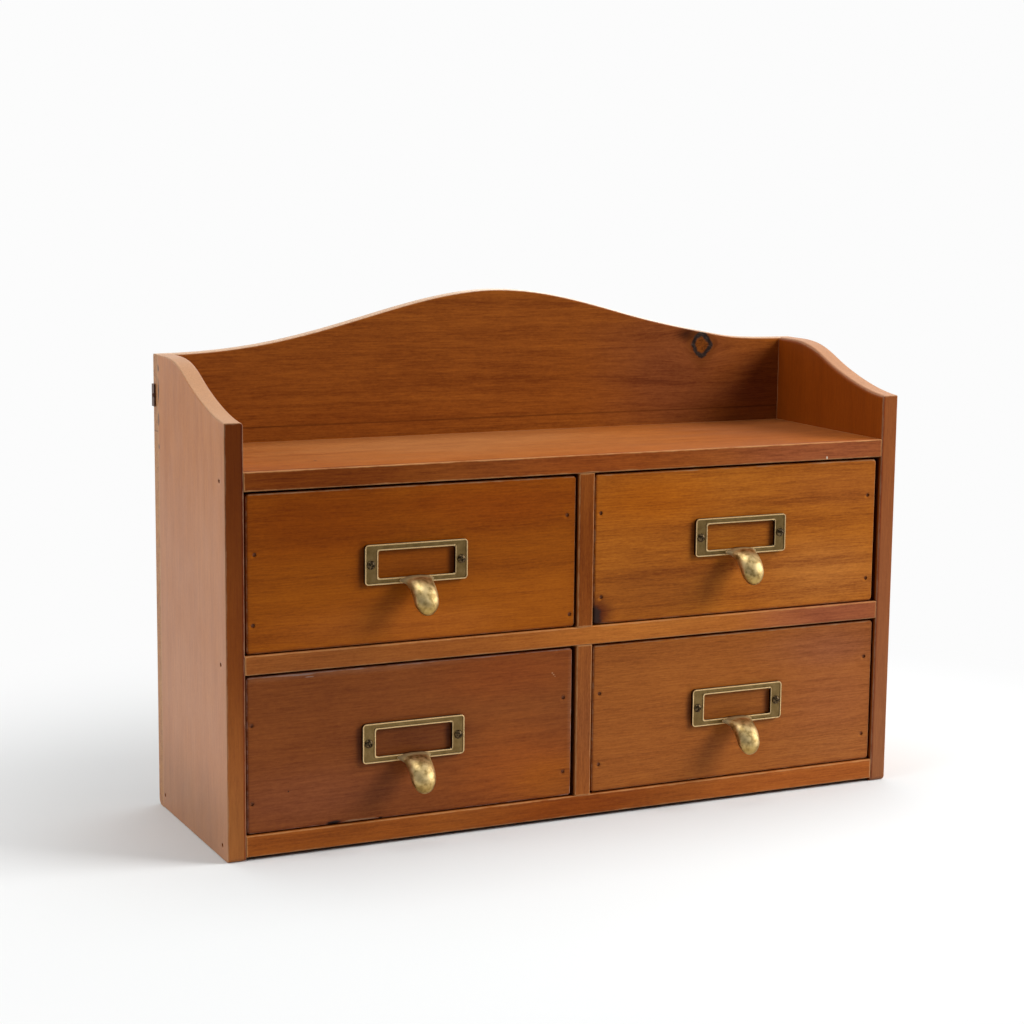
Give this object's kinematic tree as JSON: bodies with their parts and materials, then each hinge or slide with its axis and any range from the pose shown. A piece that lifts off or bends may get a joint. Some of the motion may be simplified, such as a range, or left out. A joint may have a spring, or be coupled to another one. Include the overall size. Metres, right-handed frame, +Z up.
{
  "type": "desktop drawer organizer",
  "caption": "Wooden tabletop cabinet with sliding drawers on label-frame pulls, an open tray with scroll-cut sides on top and a crested back panel.",
  "frame": {"origin": "on the table, under the middle of the whole object's box", "axes": "+X to the right along the cabinet seen from the front, +Y from the drawers to the back, +Z up"},
  "size_m": [0.403, 0.1406, 0.282],
  "materials": {
    "side_wood": "satin lacquer, vertical grain",
    "back_wood": "satin lacquer, horizontal grain",
    "shelf_wood": "satin lacquer, horizontal grain",
    "divider_wood": "satin lacquer, vertical grain",
    "drawer_front_wood": "satin lacquer, horizontal grain",
    "drawer_box_wood": "thin stain",
    "drawer_panel_wood": "thin stain on plywood",
    "nail_steel": "dulled by stain",
    "antique_brass": "antique patina, worn bright on its rims",
    "screw_bronze": "dark patina",
    "dark_bronze": "dark patina"
  },
  "bodies": {
    "cabinet": {"side_left": "side_wood", "side_right": "side_wood", "back_panel": "back_wood", "top_shelf": "shelf_wood", "middle_shelf": "shelf_wood", "bottom_board": "shelf_wood", "divider_upper": "divider_wood", "divider_lower": "divider_wood", "side_nails": "nail_steel", "back_nails": "nail_steel", "divider_nails": "nail_steel", "hanger_left": "dark_bronze", "hanger_right": "dark_bronze", "hanger_screws": "dark_bronze"},
    "drawer_upper_left": {"drawer_upper_left_front": "drawer_front_wood", "drawer_upper_left_side_left": "drawer_box_wood", "drawer_upper_left_side_right": "drawer_box_wood", "drawer_upper_left_back": "drawer_box_wood", "drawer_upper_left_bottom": "drawer_panel_wood", "drawer_upper_left_nails": "nail_steel", "drawer_upper_left_pull": "antique_brass", "drawer_upper_left_pull_screws": "screw_bronze"},
    "drawer_upper_right": {"drawer_upper_right_front": "drawer_front_wood", "drawer_upper_right_side_left": "drawer_box_wood", "drawer_upper_right_side_right": "drawer_box_wood", "drawer_upper_right_back": "drawer_box_wood", "drawer_upper_right_bottom": "drawer_panel_wood", "drawer_upper_right_nails": "nail_steel", "drawer_upper_right_pull": "antique_brass", "drawer_upper_right_pull_screws": "screw_bronze"},
    "drawer_lower_left": {"drawer_lower_left_front": "drawer_front_wood", "drawer_lower_left_side_left": "drawer_box_wood", "drawer_lower_left_side_right": "drawer_box_wood", "drawer_lower_left_back": "drawer_box_wood", "drawer_lower_left_bottom": "drawer_panel_wood", "drawer_lower_left_nails": "nail_steel", "drawer_lower_left_pull": "antique_brass", "drawer_lower_left_pull_screws": "screw_bronze"},
    "drawer_lower_right": {"drawer_lower_right_front": "drawer_front_wood", "drawer_lower_right_side_left": "drawer_box_wood", "drawer_lower_right_side_right": "drawer_box_wood", "drawer_lower_right_back": "drawer_box_wood", "drawer_lower_right_bottom": "drawer_panel_wood", "drawer_lower_right_nails": "nail_steel", "drawer_lower_right_pull": "antique_brass", "drawer_lower_right_pull_screws": "screw_bronze"}
  },
  "joints": [
    {"name": "drawer_upper_left_slide", "type": "slide", "parent": "cabinet", "child": "drawer_upper_left", "axis": [0, -1, 0], "range_m": [0, 0.09]},
    {"name": "drawer_upper_right_slide", "type": "slide", "parent": "cabinet", "child": "drawer_upper_right", "axis": [0, -1, 0], "range_m": [0, 0.09]},
    {"name": "drawer_lower_left_slide", "type": "slide", "parent": "cabinet", "child": "drawer_lower_left", "axis": [0, -1, 0], "range_m": [0, 0.09]},
    {"name": "drawer_lower_right_slide", "type": "slide", "parent": "cabinet", "child": "drawer_lower_right", "axis": [0, -1, 0], "range_m": [0, 0.09]}
  ]
}
